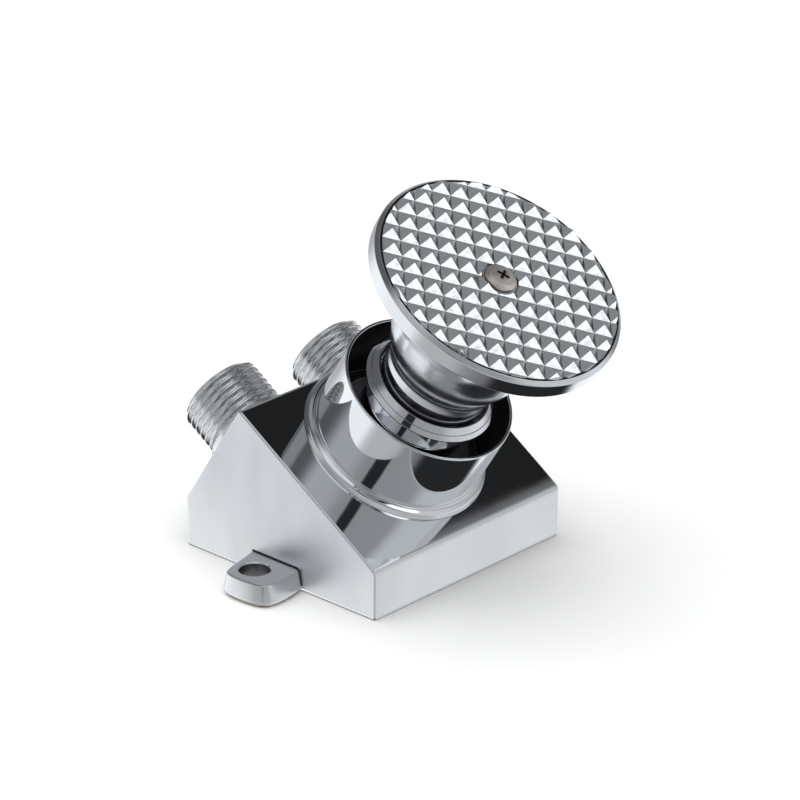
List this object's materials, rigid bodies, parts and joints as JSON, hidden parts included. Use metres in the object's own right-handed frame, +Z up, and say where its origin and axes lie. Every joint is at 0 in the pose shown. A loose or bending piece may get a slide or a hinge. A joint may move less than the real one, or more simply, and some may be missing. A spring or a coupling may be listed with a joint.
{
  "type": "foot pedal water valve",
  "caption": "Floor-standing foot pedal tap valve: wedge body with two ears and two threaded ports, shrouded bonnet and a round treaded push pedal on a sprung spindle.",
  "frame": {"origin": "on the floor plane, midway between the centres of the two fixing holes", "axes": "+X to the valve's right, +Y to its rear where the ports are, +Z up; the front wall faces -Y"},
  "size_m": [0.0946, 0.1043, 0.0946],
  "materials": {
    "chrome_plate": "polished bright chrome plate",
    "plated_thread": "thin dull plating on a cut thread",
    "machined_brass": "turned, unplated",
    "stainless_steel": "plain steel, slightly warm grey",
    "black_rubber": "moulded, matt"
  },
  "bodies": {
    "valve_body": {"body": "chrome_plate", "inlet_nipple": "plated_thread", "outlet_nipple": "plated_thread", "inlet_oring": "black_rubber", "outlet_oring": "black_rubber", "shroud": "chrome_plate", "bonnet": "chrome_plate", "bonnet_oring": "black_rubber", "stem_oring_lower": "black_rubber", "stem_oring_upper": "black_rubber", "gland_ring": "chrome_plate", "dust_seal": "black_rubber", "valve_seat": "machined_brass", "return_spring": "stainless_steel"},
    "spring_cap": {"spring_cap": "machined_brass"},
    "pedal": {"pedal_plate": "chrome_plate", "pedal_hub": "chrome_plate", "pedal_screw": "stainless_steel", "screw_washer": "stainless_steel", "spindle": "machined_brass", "retaining_clip": "stainless_steel", "washer_holder": "machined_brass", "valve_washer": "black_rubber", "holder_nut": "machined_brass"}
  },
  "joints": [
    {"name": "pedal_press", "type": "slide", "parent": "valve_body", "child": "spring_cap", "axis": [0, 0.5373, -0.8434], "range_m": [0, 0.006], "stiffness_N_per_m": 3000, "springref_m": -0.008, "deforming": ["return_spring"]},
    {"name": "pedal_spin", "type": "hinge", "parent": "spring_cap", "child": "pedal", "pos_m": [0, -0.00796, 0.02781], "axis": [0, -0.5373, 0.8434], "continuous": true}
  ]
}
